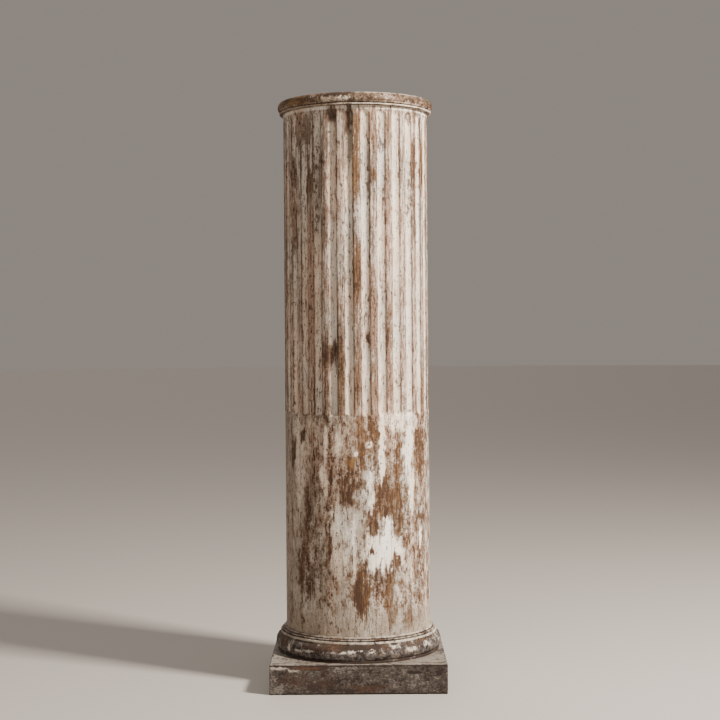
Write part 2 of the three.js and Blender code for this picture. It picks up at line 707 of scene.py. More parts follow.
def smoothed(mesh: bmesh.types.BMesh, sharpest: float) -> bmesh.types.BMesh:
    """Shades a mesh smoothly, apart from its sharp edges.

    Args:
        mesh: The mesh to shade.
        sharpest: The angle in degrees from which an edge stays sharp.

    Returns:
        The same mesh.
    """
    mesh.normal_update()
    for face in mesh.faces:
        face.smooth = True
    for edge in mesh.edges:
        edge.smooth = edge.calc_face_angle(0.0) < math.radians(sharpest)
    return mesh


def roughness_at(point: Vector, size: float, stretch: float = 1.0, octaves: int = 3) -> float:
    """Fixed noise in space, from about -1 to 1.

    Args:
        point: Where it is read.
        size: The size of its lumps.
        stretch: How many times longer they are upwards.
        octaves: How many layers it has.

    Returns:
        The noise there.
    """
    place = Vector((point.x / size, point.y / size, point.z / (size * stretch)))
    return noise.fractal(place, 0.8, 2.0, octaves)


@dataclass
class Shaft(Piece):
    """The staved shaft: plain below, and above it round-ended flutes with narrow fillets between them."""

    node: str = "shaft"
    name: str = "shaft_painted"
    flutes: int = 28
    flute_width: float = 19.5 * MM
    flute_depth: float = 6 * MM
    plain_foot: float = 447 * MM
    plain_neck: float = 8 * MM
    turn: float = math.radians(1.0)
    column_steps: tuple[float, ...] = (-1.0, -0.93, -0.72, -0.36, 0.0, 0.36, 0.72, 0.93, 1.0)
    fillet_steps: tuple[float, ...] = (0.16, 0.5, 0.84)
    fine_ring: float = 1.0 * MM
    plain_ring: float = 4.2 * MM
    fluted_ring: float = 4.6 * MM
    inner_ring: float = 0.6
    usual_loss: float = 0.15 * MM
    uneven_loss: float = 0.20 * MM
    arris_width: float = 1.2 * MM
    arris_loss: float = 0.45 * MM
    arris_uneven: float = 1.6 * MM
    dent_start: float = 0.55
    dent_depth: float = 2.2 * MM

    @property
    def pitch(self) -> float:
        """Angle from one flute to the next."""
        return 2 * math.pi / self.flutes

    def offsets(self) -> list[float]:
        """Where the points of one flute and one fillet lie.

        Returns:
            Their arc lengths from the flute's centre line.
        """
        half = self.flute_width / 2
        fillet = self.pitch * self.reach - self.flute_width
        across_fillet = [half + fillet * step for step in self.fillet_steps]
        return [half * step for step in self.column_steps] + across_fillet

    def rings(self) -> list[float]:
        """Where the rings of points lie, close together at the flutes' round ends.

        Returns:
            Their heights above the floor.
        """
        half = self.flute_width / 2
        flute_foot = self.foot + self.plain_foot
        flute_head = self.head - self.plain_neck
        stops = [
            (self.foot, flute_foot - half * 0.2, self.plain_ring),
            (flute_foot - half * 0.2, flute_foot + half * 1.2, self.fine_ring),
            (flute_foot + half * 1.2, flute_head - half * 1.2, self.fluted_ring),
            (flute_head - half * 1.2, self.head, self.fine_ring),
        ]
        heights = []
        for low, high, spacing in stops:
            count = math.ceil((high - low) / spacing)
            heights += [low + (high - low) * step / count for step in range(count)]
        return [*heights, self.head]

    def cut(self, offset: float, height: float) -> float:
        """How deep the flute is at a place.

        Args:
            offset: Arc length from its centre line.
            height: Height above the floor.

        Returns:
            The depth, or zero off the flute.
        """
        half = self.flute_width / 2
        past_foot = self.foot + self.plain_foot + half - height
        past_head = height - (self.head - self.plain_neck - half)
        distance = math.hypot(offset, max(past_foot, past_head, 0.0))
        if distance >= half:
            return 0.0
        section = (half**2 + self.flute_depth**2) / (2 * self.flute_depth)
        return math.sqrt(section**2 - distance**2) - (section - self.flute_depth)

    def form(self) -> bmesh.types.BMesh:
        """Turns and flutes the shaft as one solid, with softened arrises and small dents.

        Returns:
            The shaped mesh.
        """
        offsets = self.offsets()
        per_flute = len(offsets)
        count = per_flute * self.flutes
        heights = self.rings()
        inner = self.reach * self.inner_ring
        side = [(self.reach, height) for height in heights]
        profile = [(0.0, self.foot), (inner, self.foot), *side, (inner, self.head), (0.0, self.head)]
        mesh = spun(profile, count)
        front = -math.pi / 2 + self.turn
        for vertex in mesh.verts:
            radius = math.hypot(vertex.co.x, vertex.co.y)
            if radius < 1e-6:
                continue
            column = round(math.atan2(vertex.co.y, vertex.co.x) / (2 * math.pi) * count) % count
            offset = offsets[column % per_flute]
            angle = front + self.pitch * (column // per_flute + 0.5) + offset / self.reach
            share = radius / self.reach
            direction = Vector((math.cos(angle), math.sin(angle), 0.0))
            outer = direction * self.reach + Vector((0, 0, vertex.co.z))
            depth = self.cut(offset, vertex.co.z) + self.worn_away(offset, outer)
            vertex.co = direction * ((self.reach - depth) * share) + Vector((0, 0, vertex.co.z))
        bmesh.ops.recalc_face_normals(mesh, faces=mesh.faces)
        self.unwrap(mesh)
        return smoothed(mesh, 60.0)

    def worn_away(self, offset: float, outer: Vector) -> float:
        """Depth lost to wear: all over a little, and more on the arrises between flute and fillet.

        Args:
            offset: Arc length from the flute's centre line.
            outer: The point before anything is cut away.

        Returns:
            The depth.
        """
        lost = max(0.0, self.usual_loss + self.uneven_loss * roughness_at(outer, 25 * MM, stretch=6.0))
        half = self.flute_width / 2
        fluted = self.foot + self.plain_foot + half < outer.z < self.head - self.plain_neck - half
        if fluted and abs(abs(offset) - half) < self.arris_width:
            notch = max(0.0, roughness_at(outer, 9 * MM, stretch=3.0) - 0.1)
            lost += self.arris_loss + notch * self.arris_uneven
        elsewhere = outer + Vector((3.0, 1.0, 2.0))
        dent = max(0.0, roughness_at(elsewhere, 14 * MM, stretch=2.5) - self.dent_start)
        return lost + dent * self.dent_depth

    def unwrap(self, mesh: bmesh.types.BMesh) -> None:
        """Lays the shaft's side out flat as one sheet, with its two end discs small below it.

        Args:
            mesh: The shaped mesh, which is given the map.
        """
        layer = mesh.loops.layers.uv.new(BAKE_MAP)
        margin, strip = 0.01, 0.05
        disc, disc_height, foot_disc, head_disc = 0.02, 0.025, 0.03, 0.09
        span = self.head - self.foot
        for face in mesh.faces:
            middle = face.calc_center_median()
            at_end = min(abs(middle.z - self.foot), abs(middle.z - self.head)) < 1e-5
            left = foot_disc if middle.z < self.foot + span / 2 else head_disc
            centre = math.atan2(middle.x, -middle.y)
            for loop in face.loops:
                point = loop.vert.co
                if at_end:
                    scale = disc / self.reach
                    loop[layer].uv = (left + point.x * scale, disc_height + point.y * scale)
                    continue
                angle = math.atan2(point.x, -point.y)
                angle -= 2 * math.pi * round((angle - centre) / (2 * math.pi))
                along = (angle + math.pi) / (2 * math.pi)
                up = (point.z - self.foot) / span
                loop[layer].uv = (margin + (1 - 2 * margin) * along, strip + (1 - strip - margin) * up)

    def wear(self, worn: WearMap, points: np.ndarray) -> None:
        """Flutes keep their paint, fillets lose it, and the left side is darker, from dirt and from painted
        shade.

        Args:
            worn: The layers to lay it on.
            points: Where each point is, as rows of X, Y and Z.
        """
        around = np.arctan2(points[:, 0], -points[:, 1])
        sunk = eased(self.reach - np.hypot(points[:, 0], points[:, 1]), 0.8 * MM, 2.5 * MM)
        flute_foot = self.foot + self.plain_foot
        fluted = eased(worn.height, flute_foot, flute_foot + 8 * MM)
        turns = (around - self.turn) / self.pitch
        offset = (turns - np.floor(turns) - 0.5) * self.pitch * self.reach
        half = self.flute_width / 2
        # Painted shade, with some grime, along the flutes' corners.
        corner_grime_and_shade = eased(np.abs(np.abs(offset) - half * 0.93), 1.3 * MM, 0.2 * MM) * sunk * fluted
        arris = eased(np.abs(np.abs(offset) - half), 1.1 * MM, 0.1 * MM) * fluted
        worn.grounds[Ground.FLUTE] = np.where(np.abs(offset) < half * 0.96, 1.0, 0.0)
        worn.grounds[Ground.FILLET] = np.where(np.abs(offset) > half * 0.96, 1.0, 0.0)
        right = np.sin(around)
        worn.dress(paint=0.50 - 0.04 * right, film=0.75, tone=0.46 + 0.06 * right)
        # Grime that grows towards the left is partly painted shade on the side away from the key light.
        worn.dress(grime=0.50 - 0.18 * right, flaking=0.80 + 0.25 * right, pits=0.34 - 0.06 * right)
        worn.dress(fluted, film=1.0, grime=0.28 - 0.12 * right, flaking=0.0)
        worn.dress(fluted * (1 - sunk), paint=0.47)
        worn.dress(fluted * sunk, paint=0.65 + 0.06 * right)
        # Painted shade, with some grime, darkens each flute's corners, more along its right wall, which faces
        # away from the key light.
        worn.dress(corner_grime_and_shade * np.where(offset > 0, 0.95, 0.55), grime=0.80 - 0.1 * right)
        worn.dress(arris, paint=0.26 - 0.04 * right, film=0.30, tone=0.28)
        behind = eased(-np.cos(around), -0.1, 0.4) * 0.17
        worn.layers[Layer.PAINT] += behind * ripple(worn.across / (95 * MM), worn.height / (230 * MM))
        worn.layers[Layer.TONE] += behind * ripple(worn.height / (170 * MM), worn.across / (70 * MM))
        worn.dress(eased(worn.height, self.head - 9 * MM, self.head - 5 * MM), paint=0.74)
        foot = eased(worn.height, self.foot + 75 * MM, self.foot + 15 * MM)
        # The foot's grime also grows towards the left, partly as painted shade.
        worn.dress(foot, paint=0.64, grime=0.74 - 0.16 * right, flaking=0.4)

    def finish(self) -> WornPaint:
        """Mixes peeling cream paint over a pinkish film and brown wood, streaked along the staves.

        Returns:
            The finish.
        """
        return WornPaint(
            name="peeling_cream_paint",
            paint=swatch(250, 244, 236),
            warm_paint=swatch(240, 224, 202),
            soiled_and_shaded=swatch(134, 119, 103),
            film=swatch(180, 147, 128),
            grey_film=swatch(142, 127, 111),
            dark_wood=swatch(64, 43, 30),
            pale_wood=swatch(144, 105, 63),
            mottle=1.25,
            stretch=(1.0, 1.0, 0.13),
            flake=0.012,
            staves=self.flutes,
            turn=self.turn,
            radius=self.reach,
        )


@dataclass(frozen=True)
class Knocks:
    """How unevenly the side of a turned piece is worn, in metres.

    Attributes:
        usual: The depth usually lost.
        lump: The size of the unevenness.
        chip: The size of the chips.
        chip_depth: How deep they are.
        chip_start: How strong the noise is where they start.
        elsewhere: Where the chips' noise is read from.
        uneven: How much more or less than usual is lost.
    """

    usual: float
    lump: float
    chip: float
    chip_depth: float
    chip_start: float
    elsewhere: tuple[float, float, float]
    uneven: float = 0.25 * MM

    def lost(self, point: Vector) -> float:
        """The depth lost at a point.

        Args:
            point: The point before it is worn.

        Returns:
            The depth.
        """
        chip = max(0.0, roughness_at(point + Vector(self.elsewhere), self.chip) - self.chip_start)
        return max(0.0, self.usual + self.uneven * roughness_at(point, self.lump) + self.chip_depth * chip)


@dataclass
class Turned(Piece):
    """A turned piece at the shaft's foot or head, which reaches out past it."""

    shaft_radius: float = 153 * MM
    sides: int = 360
    knocks: Knocks = field(init=False)

    def profile(self) -> Profile:
        """The turned profile, with heights above the piece's underside."""
        raise NotImplementedError

    def form(self) -> bmesh.types.BMesh:
        """Turns the piece, and wears it unevenly outside the shaft's radius.

        Returns:
            The shaped mesh.
        """
        mesh = spun([(radius, self.foot + rise) for radius, rise in self.profile()], self.sides)
        for vertex in mesh.verts:
            radius = math.hypot(vertex.co.x, vertex.co.y)
            if radius >= self.shaft_radius:
                vertex.co.xy *= (radius - self.knocks.lost(vertex.co)) / radius
        return smoothed(mesh, 50.0)


@dataclass
class BaseMoulding(Turned):
    """The turned base: a torus on a thin lip, a fillet, a bead in a groove and the top fillet."""

    node: str = "base_moulding"
    name: str = "base_moulding_worn"
    full_height: float = 50 * MM
    knocks: Knocks = Knocks(
        usual=0.15 * MM,
        lump=18 * MM,
        chip=11 * MM,
        chip_depth=2.6 * MM,
        chip_start=0.5,
        elsewhere=(1.0, 4.0, 0.0),
    )
    torus_reach: float = 22 * MM
    torus_section: float = 20 * MM
    torus_height: float = 38 * MM
    lip_height: float = 4 * MM
    lip_setback: float = 3.5 * MM
    lower_fillet_reach: float = 12.5 * MM
    lower_fillet_height: float = 3.4 * MM
    groove_reach: float = 5 * MM
    bead_reach: float = 8.5 * MM
    bead_height: float = 2 * MM
    bead_rise: float = 2 * MM
    top_fillet_reach: float = 4 * MM
    top_fillet_height: float = 2 * MM

    def profile(self) -> Profile:
        """The turned profile, from the underside round to the top.

        Returns:
            Radius and height of each point, with heights above the piece's underside.
        """
        core = self.shaft_radius
        torus = core + self.torus_reach
        lip = torus - self.lip_setback
        middle = self.torus_height / 2
        fillet = core + self.lower_fillet_reach
        fillet_top = self.torus_height + self.lower_fillet_height
        groove = core + self.groove_reach
        bead = core + self.bead_reach
        bead_foot = fillet_top + self.bead_rise
        bead_top = bead_foot + self.bead_height
        height = self.head - self.foot
        top_foot = height - self.top_fillet_height
        top = core + self.top_fillet_reach
        points = [(lip, 0.0), (lip, self.lip_height)]
        points += arc((torus - self.torus_section, middle), self.torus_section, middle, -50, 55, 40)
        points += [(fillet, self.torus_height), (fillet, fillet_top), (groove, fillet_top), (bead, bead_foot)]
        points += [(bead, bead_top), (groove, bead_top), (groove, top_foot), (top, top_foot), (top, height)]
        shaped = resampled(points, 1.0 * MM)
        inner = core * 0.5
        return [(0.0, 0.0), (inner, 0.0), *shaped, (inner, height), (0.0, height)]

    def wear(self, worn: WearMap, points: np.ndarray) -> None:
        """Cream paint and painted highlight line the fillets; the torus is brown above and grey below.

        Args:
            worn: The layers to lay it on.
            points: Where each point is, as rows of X, Y and Z.
        """
        radius = np.hypot(points[:, 0], points[:, 1])
        above = worn.height - self.foot
        right = points[:, 0] / radius.clip(1e-6)
        core = self.shaft_radius
        # Grime that grows towards the left is partly painted shade on the side away from the key light.
        worn.dress(paint=0.30 + 0.06 * right, film=0.45, tone=0.34 + 0.10 * right)
        worn.dress(grime=0.50 - 0.22 * right, flaking=1.0)
        ragged = 3.5 * MM * ripple(worn.across / (34 * MM), above / (40 * MM))
        worn.dress(eased(above + ragged, 24 * MM, 16 * MM), paint=0.42, film=1.5, grime=0.80)
        # Painted shade: dark wood on the lip under the torus.
        worn.dress(eased(above, 7 * MM, 3 * MM), paint=0.2, film=0.1, tone=0.12)
        groove = eased(above, self.torus_height + 2.5 * MM, self.torus_height + 4 * MM)
        worn.dress(groove, paint=0.50, film=0.5, tone=0.75)
        bead, hollow = core + self.bead_reach, core + self.groove_reach
        # Painted shade: darker wood with less paint in the groove round the bead.
        worn.dress(groove * eased(radius, bead - 0.6 * MM, hollow + 0.6 * MM), paint=0.30, tone=0.45)
        fillet_top = self.torus_height + self.lower_fillet_height
        top_foot = self.full_height - self.top_fillet_height
        # Cream lines along the two fillets: partly paint, partly painted highlight where the ledges catch the
        # light.
        for edge, low, high in (
            (core + self.lower_fillet_reach, self.torus_height - 0.5 * MM, fillet_top),
            (core + self.top_fillet_reach, top_foot, self.full_height),
        ):
            line = eased(above, low - 0.6 * MM, low + 0.4 * MM)
            line = line * eased(above, high + 0.8 * MM, high - 0.2 * MM)
            line = line * eased(radius, edge - 2.0 * MM, edge - 0.8 * MM)
            worn.dress(line, paint=0.66, grime=0.48 - 0.3 * right)

    def finish(self) -> WornPaint:
        """Mixes worn paint with a cold grey film low on the torus.

        Returns:
            The finish.
        """
        return WornPaint(
            name="worn_base_paint",
            paint=swatch(226, 214, 198),
            warm_paint=swatch(206, 188, 164),
            soiled_and_shaded=swatch(126, 112, 100),
            film=swatch(94, 96, 100),
            grey_film=swatch(100, 99, 100),
            dark_wood=swatch(48, 36, 29),
            pale_wood=swatch(112, 82, 58),
            mottle=0.6,
            clouds=0.8,
            stretch=(1.0, 1.0, 0.8),
            flake=0.011,
        )


@dataclass
class Cap(Turned):
    """The turned cap: a thin bead, a quirk and a half-round nosing up to a flat top."""

    node: str = "cap"
    name: str = "cap_worn"
    knocks: Knocks = Knocks(
        usual=0.2 * MM,
        lump=20 * MM,
        chip=12 * MM,
        chip_depth=2.4 * MM,
        chip_start=0.45,
        elsewhere=(5.0, 2.0, 0.0),
    )
    nosing_reach: float = 12 * MM
    nosing_section: float = 10 * MM
    bead_height: float = 4 * MM
    bead_reach: float = 8.5 * MM
    quirk_reach: float = 5 * MM
    top_rings: tuple[float, ...] = (0.95, 0.8, 0.6, 0.4, 0.2)
    lip_line: float = 24.6 * MM
    top_line: float = 25.2 * MM
    top_face: float = 25.9 * MM

    def profile(self) -> Profile:
        """The turned profile, from the underside round to the top.

        Returns:
            Radius and height of each point, with heights above the piece's underside.
        """
        height = self.head - self.foot
        bead = self.bead_height / 2
        rise = (height - self.bead_height) / 2
        core = self.shaft_radius
        points = arc((core + self.bead_reach - bead, bead), bead, bead, -90, 90, 12)
        points += [(core + self.quirk_reach, self.bead_height)]
        centre = (core + self.nosing_reach - self.nosing_section, self.bead_height + rise)
        points += arc(centre, self.nosing_section, rise, -75, 90, 36)
        top = [(core * share, height) for share in self.top_rings]
        return [(0.0, 0.0), (core * 0.5, 0.0), *resampled(points, 1.0 * MM), *top, (0.0, height)]

    def wear(self, worn: WearMap, points: np.ndarray) -> None:
        """Bare wood on the nosing, and paint left on the bead and under the nosing.

        Args:
            worn: The layers to lay it on.
            points: Where each point is, as rows of X, Y and Z.
        """
        radius = np.hypot(points[:, 0], points[:, 1])
        above = worn.height - self.foot
        right = points[:, 0] / radius.clip(1e-6)
        # Grime that grows towards the left is partly painted shade on the side away from the key light.
        worn.dress(paint=0.27, film=0.60, tone=0.40, grime=0.36 - 0.25 * right, flaking=0.5)
        worn.dress(eased(above, 10 * MM, 6 * MM), paint=0.50 + 0.12 * right, film=0.80)
        bead = eased(above, 5.0 * MM, 3.6 * MM)
        # The bead's grime also grows towards the left, partly as painted shade.
        worn.dress(bead, paint=0.62 + 0.10 * right, grime=0.50 - 0.30 * right)
        # Painted shade: dark wood in the quirk under the nosing and along the very foot, where the cap meets
        # the shaft.
        quirk_shade = eased(np.abs(above - self.bead_height - 0.5 * MM), 1.6 * MM, 0.5 * MM)
        quirk_shade = np.maximum(quirk_shade, 0.7 * eased(above, 0.9 * MM, 0.3 * MM))
        worn.dress(quirk_shade, paint=0.36, film=0.6, tone=0.25)
        # Painted highlight: a cream line along the top edge on the right side only, where the key light
        # catches it.
        lip = eased(np.abs(above - self.lip_line), 1.1 * MM, 0.4 * MM) * eased(right, -0.15, 0.1)
        worn.dress(lip, paint=0.62)
        worn.dress(eased(above, self.top_line, self.top_face), paint=0.30, film=0.55, tone=0.45)
        worn.grounds[Ground.ALL] = eased(radius, self.shaft_radius - 6 * MM, self.shaft_radius + 4 * MM)

    def finish(self) -> WornPaint:
        """Mixes bare brown wood with a pinkish film and remains of cream paint.

        Returns:
            The finish.
        """
        return WornPaint(
            name="bare_weathered_wood",
            paint=swatch(240, 230, 218),
            warm_paint=swatch(226, 204, 178),
            soiled_and_shaded=swatch(140, 124, 108),
            film=swatch(164, 140, 124),
            grey_film=swatch(138, 120, 102),
            dark_wood=swatch(54, 40, 29),
            pale_wood=swatch(132, 98, 64),
            mottle=0.85,
            clouds=0.7,
            stretch=(0.8, 0.8, 0.8),
            flake=0.012,
        )


@dataclass
class Plinth(Piece):
    """The square plinth block, with knocked edges and corners."""

    node: str = "plinth"
    name: str = "plinth_worn"
    spacing: float = 5.0 * MM
    edge_cuts: tuple[float, ...] = (0.5 * MM, 1.1 * MM, 1.9 * MM, 3.0 * MM, 4.6 * MM, 7.0 * MM)
    least_round: float = 1.5 * MM
    most_round: float = 6.5 * MM
    uneven_round: float = 0.8 * MM
    chip_start: float = 0.35
    chip_depth: float = 10 * MM
    foot_share: float = 1.7

    def form(self) -> bmesh.types.BMesh:
        """Cuts the block fine, and rounds it by an uneven amount along its edges.

        Returns:
            The shaped mesh.
        """
        mesh = bmesh.new()
        bmesh.ops.create_cube(mesh, size=2.0)
        height = self.head - self.foot
        half = Vector((self.reach, self.reach, height / 2))
        middle = Vector((0, 0, self.foot + height / 2))
        for axis in range(3):
            normal = Vector([1.0 if place == axis else 0.0 for place in range(3)])
            for depth in self.cuts(half[axis]):
                everything = [*mesh.verts, *mesh.edges, *mesh.faces]
                cut = normal * (depth / half[axis])
                bmesh.ops.bisect_plane(mesh, geom=everything, plane_co=cut, plane_no=normal, dist=1e-7)
        for vertex in mesh.verts:
            point = Vector([vertex.co[axis] * half[axis] for axis in range(3)])
            round_off = self.rounding(point)
            limits = [side - round_off for side in half]
            inner = Vector([max(-limit, min(limit, part)) for limit, part in zip(limits, point)])
            away = point - inner
            if sum(abs(part) > 1e-6 for part in away) > 1:
                point = inner + away.normalized() * round_off
            vertex.co = middle + point
        bmesh.ops.recalc_face_normals(mesh, faces=mesh.faces)
        return smoothed(mesh, 60.0)

    def cuts(self, half: float) -> list[float]:
        """Where the block is cut along one axis, with the cuts close together near its edges.

        Args:
            half: Half its length along the axis.

        Returns:
            The cuts' distances from its middle.
        """
        near = [half - depth for depth in self.edge_cuts]
        room = near[-1]
        count = math.ceil(2 * room / self.spacing)
        between = [-room + 2 * room * step / count for step in range(1, count)]
        return [-depth for depth in near] + between + near[::-1]

    def rounding(self, point: Vector) -> float:
        """How far the edge near a point is rounded off, with a chip here and there.

        Args:
            point: The point, from the block's middle.

        Returns:
            The radius of the rounding.
        """
        worn = self.least_round + self.uneven_round * (1 + roughness_at(point, 30 * MM))
        chip = max(0.0, roughness_at(point + Vector((2.0, 7.0, 1.0)), 16 * MM) - self.chip_start)
        if point.z < 0:
            chip *= self.foot_share
        return min(self.most_round, worn + chip * self.chip_depth)

    def wear(self, worn: WearMap, points: np.ndarray) -> None:
        """Dirty brown and grey all over, tan on top, with remains of paint along the top edges.

        Args:
            worn: The layers to lay it on.
            points: Where each point is, as rows of X, Y and Z.
        """
        top = eased(worn.height, self.head - 0.6 * MM, self.head - 0.1 * MM)
        # A dark line under the top edge: painted shade, with some worn wood in it.
        line = eased(np.abs(worn.height - self.head + 2.0 * MM), 1.6 * MM, 0.7 * MM)
        # A dark band along the foot: painted shade where the block meets the floor.
        foot = eased(worn.height, self.foot + 5 * MM, self.foot + 1 * MM)
        edge = np.abs(np.abs(points[:, 0]) - self.reach) + np.abs(np.abs(points[:, 1]) - self.reach)
        worn.dress(paint=0.33, film=0.85, tone=0.30, grime=0.75, flaking=0.4)
        worn.dress(eased(edge, 11 * MM, 3 * MM), paint=0.44)
        # These two lay the painted shade as dark bare wood.
        worn.dress(np.maximum(line * 0.9, foot), film=0.0, tone=0.02)
        worn.dress(np.maximum(line * 0.8, foot), paint=0.16)
        worn.dress(top, paint=0.55, film=0.85, tone=0.85, grime=0.50)

    def finish(self) -> WornPaint:
        """Mixes grime over remains of grey and brown.

        Returns:
            The finish.
        """
        return WornPaint(
            name="grimy_plinth",
            paint=swatch(196, 184, 170),
            warm_paint=swatch(174, 160, 142),
            soiled_and_shaded=swatch(102, 94, 87),
            film=swatch(78, 75, 75),
            grey_film=swatch(86, 77, 70),
            dark_wood=swatch(38, 30, 26),
            pale_wood=swatch(80, 54, 38),
            mottle=0.8,
            clouds=1.0,
            stretch=(0.55, 0.8, 1.0),
            flake=0.014,
        )


@dataclass(frozen=True)
class Lamp:
    """A soft square lamp.

    Attributes:
        name: The lamp's name.
        place: Where it stands, in metres.
        size: Its side, in metres.
        power: Its strength in watts.
    """

    name: str
    place: tuple[float, float, float]
    size: float
    power: float


class Studio:
    """The floor, the light and the camera, with lengths in metres."""

    floor_radius = 30.0
    floor_colour = swatch(176, 170, 164)
    distance = 3.157
    camera_height = 0.7265
    camera_side = 0.0075
    focal_length = 73.9
    horizon_shift = -0.036
    camera_roll = math.radians(0.4)
    key = Lamp("key", place=(2.15, -1.32, 2.60), size=0.45, power=318.0)
    fill = Lamp("fill", place=(-1.3, -3.3, 1.6), size=2.2, power=34.0)
    lit_place = (0.0, 0.0, 0.80)
    lamp_colour = (1.0, 0.93, 0.84)
    back_power = 0.8
    back_spread = math.radians(60)
    back_way = (1.0, -3.4, -2.4)
    surround_colour = swatch(188, 178, 170)
    surround_strength = 0.56

    def floor(self) -> None:
        """Lays a plain pale floor."""
        plane = bmesh.new()
        bmesh.ops.create_circle(plane, cap_ends=True, segments=96, radius=self.floor_radius)
        mesh = bpy.data.meshes.new("floor")
        plane.to_mesh(mesh)
        plane.free()
        material = bpy.data.materials.new("pale_floor")
        material.use_nodes = True
        shader = material.node_tree.nodes["Principled BSDF"]
        shader.inputs["Base Color"].default_value = self.floor_colour
        shader.inputs["Roughness"].default_value = 0.7
        mesh.materials.append(material)
        placed("floor", mesh)

    def hang(self, lamp: Lamp) -> None:
        """Hangs a lamp that faces the column.

        Args:
            lamp: The lamp.
        """
        light = bpy.data.lights.new(lamp.name, "AREA")
        light.size = lamp.size
        light.energy = lamp.power
        light.color = self.lamp_colour
        made = placed(lamp.name, light)
        made.location = lamp.place
        way = Vector(self.lit_place) - Vector(lamp.place)
        made.rotation_euler = way.to_track_quat("-Z", "Y").to_euler()

    def light(self) -> None:
        """Lights the column: a strong soft key from the right, a weak fill and a pale surround."""
        self.hang(self.key)
        self.hang(self.fill)
        sun = bpy.data.lights.new("back", "SUN")
        sun.energy = self.back_power
        sun.angle = self.back_spread
        sun.color = self.lamp_colour
        placed("back", sun).rotation_euler = Vector(self.back_way).to_track_quat("-Z", "Y").to_euler()
        world = bpy.context.scene.world or bpy.data.worlds.new("surround")
        bpy.context.scene.world = world
        world.use_nodes = True
        background = world.node_tree.nodes["Background"]
        background.inputs["Color"].default_value = self.surround_colour
        background.inputs["Strength"].default_value = self.surround_strength

    def camera(self) -> None:
        """Puts the camera where the photographer stood: level, with a slight turn of the frame."""
        lens = bpy.data.cameras.new("camera")
        lens.lens = self.focal_length
        lens.shift_y = self.horizon_shift
        made = placed("camera", lens)
        made.location = (self.camera_side, -self.distance, self.camera_height)
        made.rotation_euler = (math.pi / 2, self.camera_roll, 0.0)
        bpy.context.scene.camera = made


FILLET_PATCHES = [
    (1.0, 1098, 94, dict(paint=0.36, tone=0.66, film=0.25)),
    (1.0, 966, 36, dict(paint=0.58)),
    (1.0, 856, 62, dict(paint=0.22, tone=0.45, film=0.25)),
    (1.0, 740, 80, dict(paint=0.38, tone=0.42, film=0.6)),
    (1.0, 640, 50, dict(paint=0.30, tone=0.55, film=0.5)),
    (13.9, 1155, 36, dict(paint=0.38, tone=0.65)),
    (13.9, 1053, 14, dict(paint=0.22, tone=0.45, film=0.3)),
    (13.9, 900, 80, dict(paint=0.46, film=1.0)),
    (13.9, 700, 140, dict(paint=0.34, tone=0.5, film=0.8)),
    (26.7, 1155, 36, dict(paint=0.28, tone=0.50, film=0.6)),
    (26.7, 960, 160, dict(paint=0.42, film=1.0)),
    (26.7, 690, 110, dict(paint=0.32, tone=0.45, film=0.7)),
    (39.6, 780, 180, dict(paint=0.44, film=1.0)),
    (52.4, 1172, 18, dict(paint=0.26, tone=0.42, film=0.5)),
    (52.4, 1093, 33, dict(paint=0.24, tone=0.36, film=0.3)),
    (52.4, 1010, 50, dict(paint=0.28, tone=0.38, film=0.4)),
    (52.4, 900, 60, dict(paint=0.38, tone=0.55)),
    (65.3, 1100, 22, dict(paint=0.26, tone=0.55, film=0.3)),
    (65.3, 625, 60, dict(paint=0.28, tone=0.60)),
    (-11.9, 636, 84, dict(paint=0.28, tone=0.48, film=0.5)),
    (-11.9, 960, 220, dict(paint=0.54)),
    (-24.7, 683, 26, dict(paint=0.22, tone=0.25, film=0.2)),
    (-24.7, 600, 55, dict(paint=0.34, tone=0.40, film=0.8)),
    (-24.7, 900, 200, dict(paint=0.42, film=0.9)),
    (-37.6, 1040, 34, dict(paint=0.20, tone=0.25, film=0.3)),
    (-37.6, 860, 130, dict(paint=0.36, tone=0.35)),
]

FLUTE_PATCHES = [
    (-5.4, 1166, 26, dict(paint=0.30, tone=0.12, film=0.3, grime=0.9, pits=0.4)),
    (-5.4, 1110, 40, dict(grime=0.75, pits=0.5)),
    (-18.3, 1176, 16, dict(paint=0.34, tone=0.12, film=0.3, grime=0.8)),
    (-18.3, 686, 24, dict(paint=0.34, tone=0.25, film=0.4, pits=0.4)),
    (-31.1, 1030, 100, dict(grime=0.60, pits=0.9, paint=0.56)),
    (-5.4, 850, 120, dict(grime=0.45, pits=0.5)),
    (7.4, 1075, 60, dict(pits=0.7, grime=0.45)),
    (7.4, 740, 60, dict(pits=0.7, grime=0.30, paint=0.55)),
    (20.3, 1125, 34, dict(pits=1.0)),
    (33.1, 640, 70, dict(pits=0.6)),
    (46.0, 1020, 70, dict(pits=0.8, grime=0.40)),
]

WIDE_PATCHES = [
    Patch(49.0, 1174, 12, 14, paint=0.34, tone=0.42, film=0.6),
    Patch(-44.0, 1146, 17, 32, paint=0.40, tone=0.50, film=0.7, grime=0.4),
    Patch(-58.0, 1060, 9, 30, paint=0.34, tone=0.32, film=0.6),
    Patch(-58.0, 960, 9, 60, paint=0.36, tone=0.35, film=0.7),
    Patch(11.0, 1040, 3, 46, paint=0.30, tone=0.15, grime=0.9),
    Patch(54.0, 1067, 12, 26, paint=0.20, tone=0.34, film=0.3),
    Patch(53.5, 972, 10, 64, paint=0.27, tone=0.36, film=0.5),
    Patch(65.0, 1067, 8, 26, paint=0.26, tone=0.40, film=0.5),
    Patch(-41.0, 1024, 6, 26, paint=0.24, tone=0.32, film=0.4),
    Patch(-55.5, 919, 7, 32, paint=0.24, tone=0.34, film=0.4),
    Patch(9.5, 711, 3, 18, paint=0.20, tone=0.05),
]

